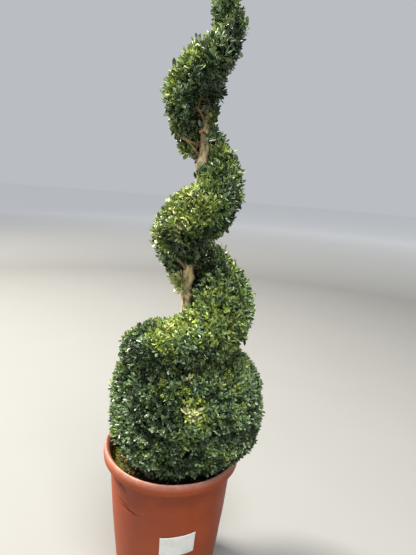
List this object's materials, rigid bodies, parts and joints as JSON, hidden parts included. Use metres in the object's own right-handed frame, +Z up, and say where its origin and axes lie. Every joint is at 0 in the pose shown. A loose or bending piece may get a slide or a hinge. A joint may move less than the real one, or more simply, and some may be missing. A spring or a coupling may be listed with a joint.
{
  "type": "potted spiral topiary",
  "caption": "Evergreen shrub clipped into a rising spiral round a visible trunk, on a full round skirt of foliage, in a deep round plastic pot with a rolled rim.",
  "frame": {"origin": "centre of the pot's flat underside", "axes": "+Z up the plant; -Y is the side of the pot with the sticker; +X is to the right of someone who faces the sticker"},
  "size_m": [0.5999, 0.593, 2.2039],
  "materials": {
    "pot": "matte terracotta-coloured moulded plastic",
    "label": "plain white sticker",
    "soil": "dark moist compost",
    "bark": "pale tan-grey bark",
    "foliage": "small glossy green leaves"
  },
  "bodies": {
    "root": {"pot": "pot", "label": "label", "soil": "soil", "trunk": "bark", "bough_first_back": "bark", "bough_second_left_low": "bark", "bough_second_front": "bark", "bough_second_right": "bark", "bough_second_back": "bark", "bough_third_left_low": "bark", "bough_third_left_high": "bark", "bough_third_front": "bark", "skirt": "foliage", "first_turn_left": "foliage", "first_turn_front": "foliage", "first_turn_right": "foliage", "first_turn_back": "foliage", "second_turn_left": "foliage", "second_turn_front": "foliage", "second_turn_right": "foliage", "second_turn_back": "foliage", "third_turn_left": "foliage", "third_turn_front": "foliage", "third_turn_right": "foliage", "top_tuft": "foliage"}
  },
  "joints": []
}
